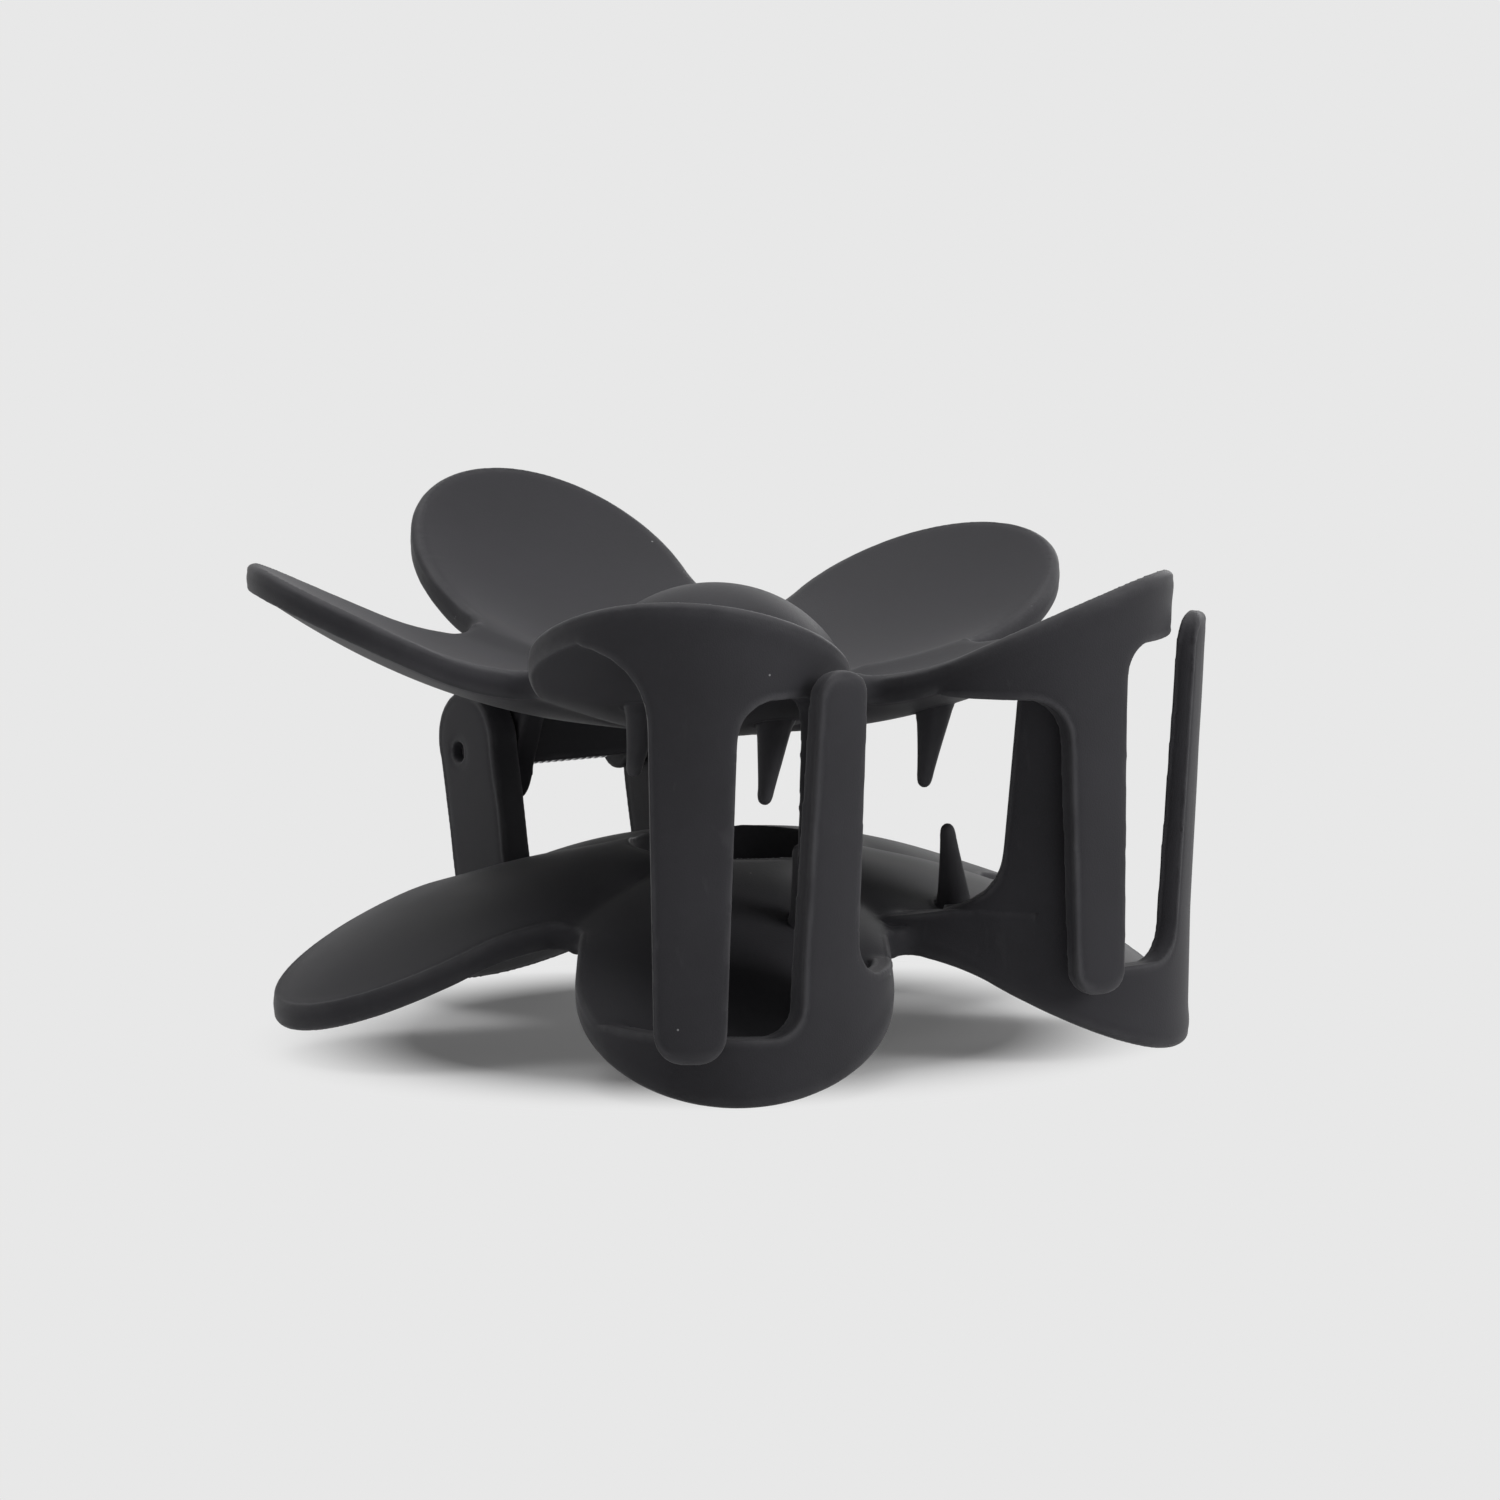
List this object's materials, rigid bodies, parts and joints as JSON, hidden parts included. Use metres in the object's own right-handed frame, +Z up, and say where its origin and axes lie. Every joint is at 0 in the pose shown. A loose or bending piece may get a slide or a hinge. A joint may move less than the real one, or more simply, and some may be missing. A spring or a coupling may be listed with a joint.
{
  "type": "claw hair clip",
  "caption": "Flower-shaped claw hair clip: two domed petal jaws with interleaving claw prongs, joined by a pinned hinge with a torsion spring.",
  "frame": {"origin": "centre of the clip's box at floor level, the clip lying on its lower flower", "axes": "+X along the hinge pin, +Y from the claws to the press petals, +Z up out of the upper flower"},
  "size_m": [0.0798, 0.0792, 0.0477],
  "materials": {
    "jaw_plastic": "soft-touch matte charcoal",
    "pin_steel": "drawn steel pin",
    "spring_steel": "bright drawn spring wire"
  },
  "bodies": {
    "lower": {"lower_jaw": "jaw_plastic", "hinge_pin": "pin_steel", "torsion_spring": "spring_steel"},
    "upper": {"upper_jaw": "jaw_plastic"}
  },
  "joints": [
    {"name": "jaw_hinge", "type": "hinge", "parent": "lower", "child": "upper", "pos_m": [0, 0.02403, 0.02324], "axis": [-1, 0, 0], "range_deg": [0, 60], "stiffness_Nm_per_rad": 0.1, "springref_deg": -40.11, "deforming": ["torsion_spring"]}
  ]
}
